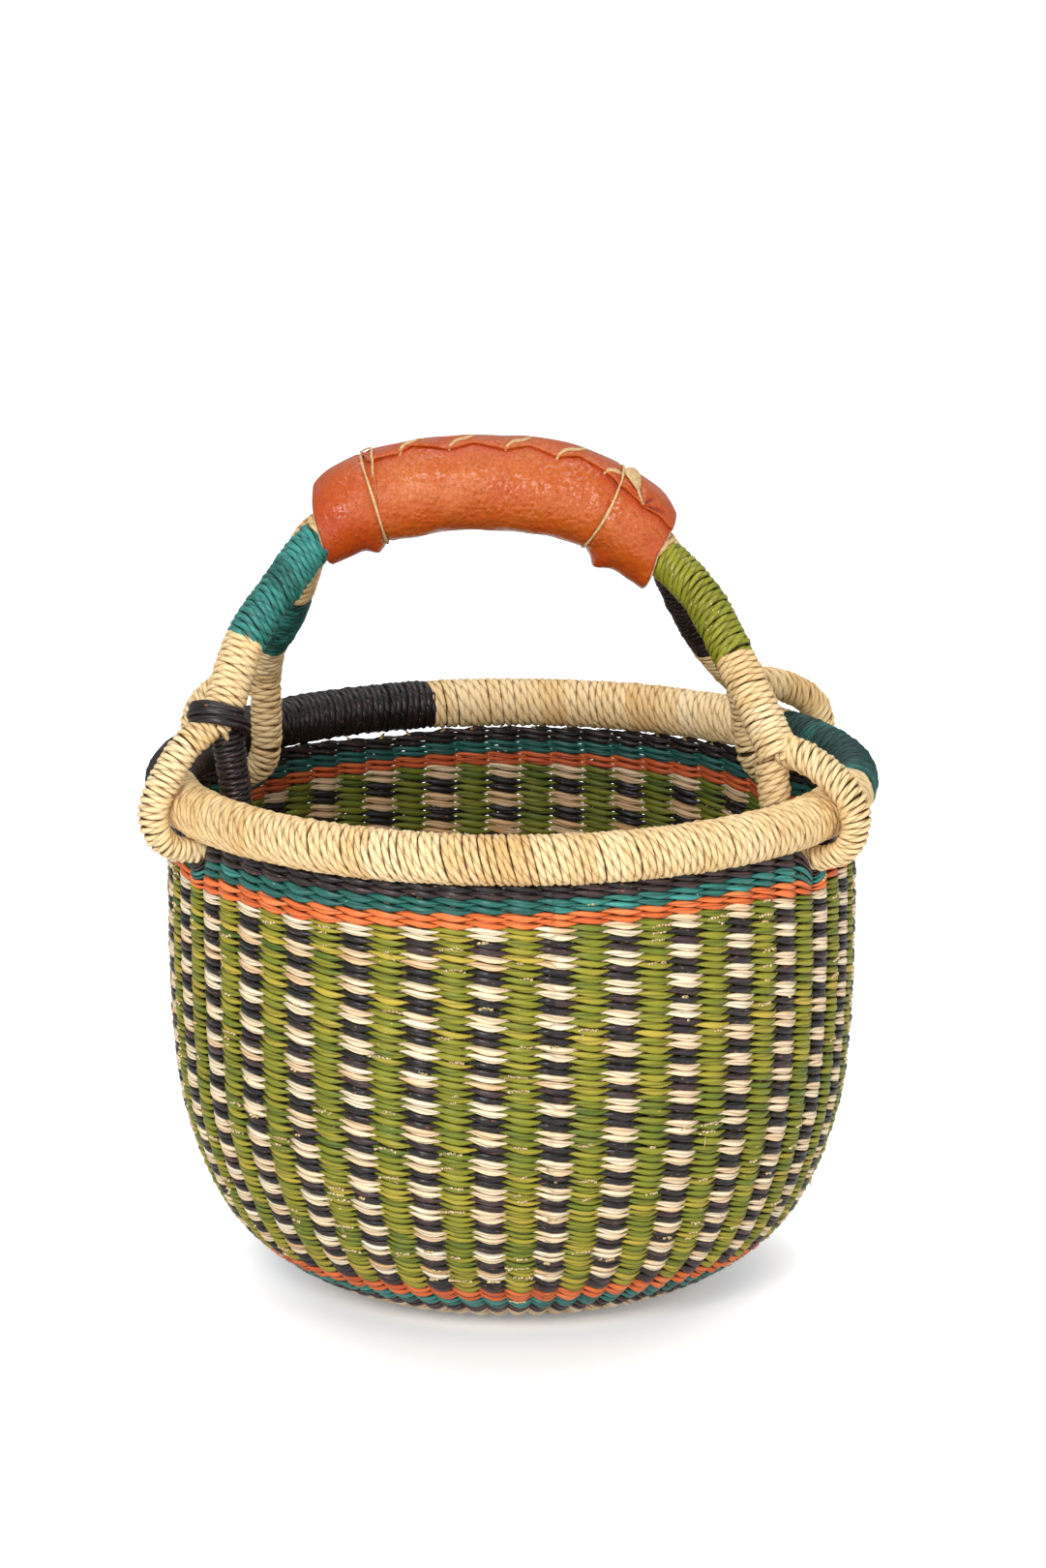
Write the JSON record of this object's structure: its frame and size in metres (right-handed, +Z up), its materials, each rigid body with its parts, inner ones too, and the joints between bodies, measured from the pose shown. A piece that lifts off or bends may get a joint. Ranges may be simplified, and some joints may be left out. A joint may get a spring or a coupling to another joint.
{
  "type": "bolga basket",
  "caption": "Round market basket of twined straw with a wrapped rim, a two-strand handle whose forked ends close round the rim, and a laced leather grip.",
  "frame": {"origin": "centre of the base, on the surface that the basket stands on", "axes": "+Z up; +X to the right of someone who looks at the front, along the grip; +Y from the front to the back"},
  "size_m": [0.3004, 0.3, 0.3563],
  "materials": {
    "natural_straw": "twisted elephant grass straw, undyed, satin",
    "black_straw": "twisted straw, dyed black, satin",
    "teal_straw": "twisted straw, dyed teal, satin",
    "orange_straw": "twisted straw, dyed orange, satin",
    "green_straw": "twisted straw, dyed olive green, satin",
    "packing_straw": "bundled straw, undyed, matte",
    "tan_leather": "vegetable tanned goat leather, pebbled, satin",
    "rawhide_lace": "cut leather thong, flesh side pale, matte"
  },
  "bodies": {
    "root": {"base_disc": "natural_straw", "base_black_ring": "black_straw", "base_teal_ring": "teal_straw", "base_orange_ring": "orange_straw", "checker_wall": "green_straw", "top_orange_band": "orange_straw", "top_teal_band": "teal_straw", "top_black_band": "black_straw", "rim_core": "packing_straw", "rim_wrap_front": "natural_straw", "rim_wrap_right": "teal_straw", "rim_wrap_back": "natural_straw", "rim_wrap_left": "black_straw", "strand_front_core": "packing_straw", "strand_back_core": "packing_straw", "strand_wrap_front_left": "teal_straw", "strand_wrap_front_grip": "natural_straw", "strand_wrap_front_right": "green_straw", "strand_wrap_back_left": "teal_straw", "strand_wrap_back_grip": "natural_straw", "strand_wrap_back_right": "black_straw", "fork_wrap_front_left": "natural_straw", "leg_wrap_front_left": "black_straw", "fork_binding_front_left": "black_straw", "fork_wrap_front_right": "natural_straw", "fork_wrap_back_left": "natural_straw", "fork_wrap_back_right": "natural_straw", "grip_leather": "tan_leather", "grip_packing": "packing_straw", "lace_stitches": "rawhide_lace", "lace_ring_left": "rawhide_lace", "lace_ring_right": "rawhide_lace", "lace_knot": "rawhide_lace"}
  },
  "joints": []
}
